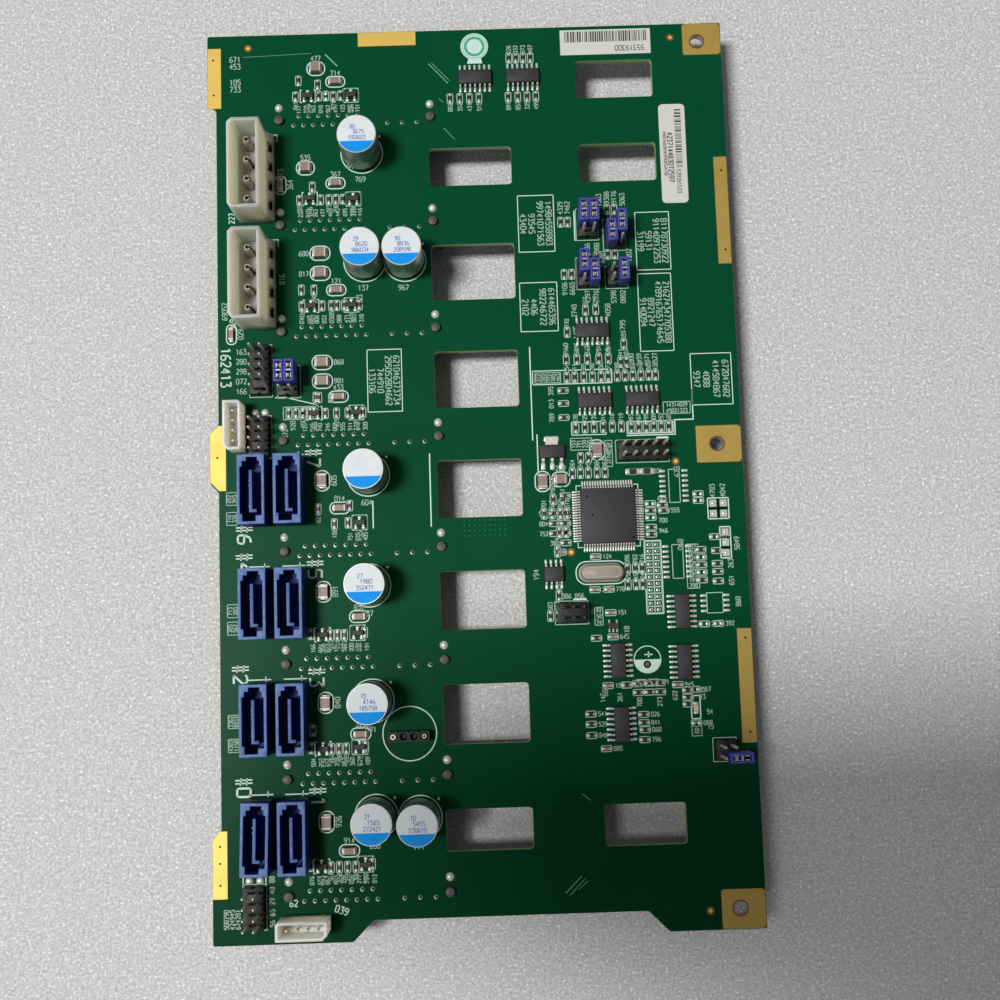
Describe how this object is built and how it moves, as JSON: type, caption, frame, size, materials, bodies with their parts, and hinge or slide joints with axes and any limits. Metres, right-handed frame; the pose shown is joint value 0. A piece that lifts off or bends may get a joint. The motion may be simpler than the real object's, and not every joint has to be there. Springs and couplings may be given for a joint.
{
  "type": "drive backplane board",
  "caption": "Circuit board that joins drives on its far side to upright data ports and power headers, with air openings and screw holes.",
  "frame": {"origin": "centre of the outline at the plane of the drive receptacles' mouths", "axes": "+Y along the board's long side towards the round sticker, +X towards the screw holes, +Z out of the component side"},
  "size_m": [0.134, 0.23, 0.0252],
  "materials": {
    "board": "green solder mask over glass-epoxy",
    "contact_gold": "gold-plated contacts",
    "tin": "tinned metal",
    "cream_nylon": "cream nylon moulding",
    "seal_rubber": "dark seal",
    "header_black": "black header moulding",
    "shunt_blue": "blue shunt moulding",
    "white_nylon": "white nylon moulding",
    "chip_black": "black moulded package",
    "crystal_can": "drawn metal can",
    "led_clear": "clear lens",
    "ceramic": "brown ceramic chip",
    "resistor_black": "black glazed chip",
    "paper": "white paper label",
    "receptacle_black": "black glass-filled moulding",
    "port_blue": "dark blue moulding",
    "can_metal": "drawn aluminium can with a blue mark"
  },
  "bodies": {
    "root": {"barcode_label": "paper", "capacitor_0": "can_metal", "capacitor_1": "can_metal", "capacitor_2": "can_metal", "capacitor_3": "can_metal", "capacitor_4": "can_metal", "capacitor_5": "can_metal", "capacitor_6": "can_metal", "capacitor_7": "can_metal", "capacitor_seals": "seal_rubber", "chip_capacitors": "ceramic", "chip_leads": "tin", "chip_resistors": "resistor_black", "circuit_board": "board", "controller_chip": "chip_black", "data_port_0": "port_blue", "data_port_1": "port_blue", "data_port_2": "port_blue", "data_port_3": "port_blue", "data_port_4": "port_blue", "data_port_5": "port_blue", "data_port_6": "port_blue", "data_port_7": "port_blue", "data_port_contacts": "contact_gold", "drive_receptacle_0": "receptacle_black", "drive_receptacle_1": "receptacle_black", "drive_receptacle_2": "receptacle_black", "drive_receptacle_3": "receptacle_black", "drive_receptacle_4": "receptacle_black", "drive_receptacle_5": "receptacle_black", "drive_receptacle_6": "receptacle_black", "drive_receptacle_7": "receptacle_black", "header_corner_eight": "header_black", "header_left_eight": "header_black", "header_left_ten": "header_black", "header_pins": "contact_gold", "header_right_six": "header_black", "header_right_ten": "header_black", "jumper_blocks": "header_black", "jumper_shunts": "shunt_blue", "logic_chips": "chip_black", "memory_chip": "chip_black", "power_header_lower": "cream_nylon", "power_header_upper": "cream_nylon", "power_pins": "tin", "receptacle_board_locks": "tin", "receptacle_contacts": "contact_gold", "round_sticker": "paper", "service_header_front": "white_nylon", "service_header_pins": "tin", "service_header_side": "white_nylon", "side_label": "paper", "socket_strip": "header_black", "status_led": "led_clear", "timing_crystal": "crystal_can", "transistors": "chip_black", "voltage_regulator": "chip_black"}
  },
  "joints": []
}
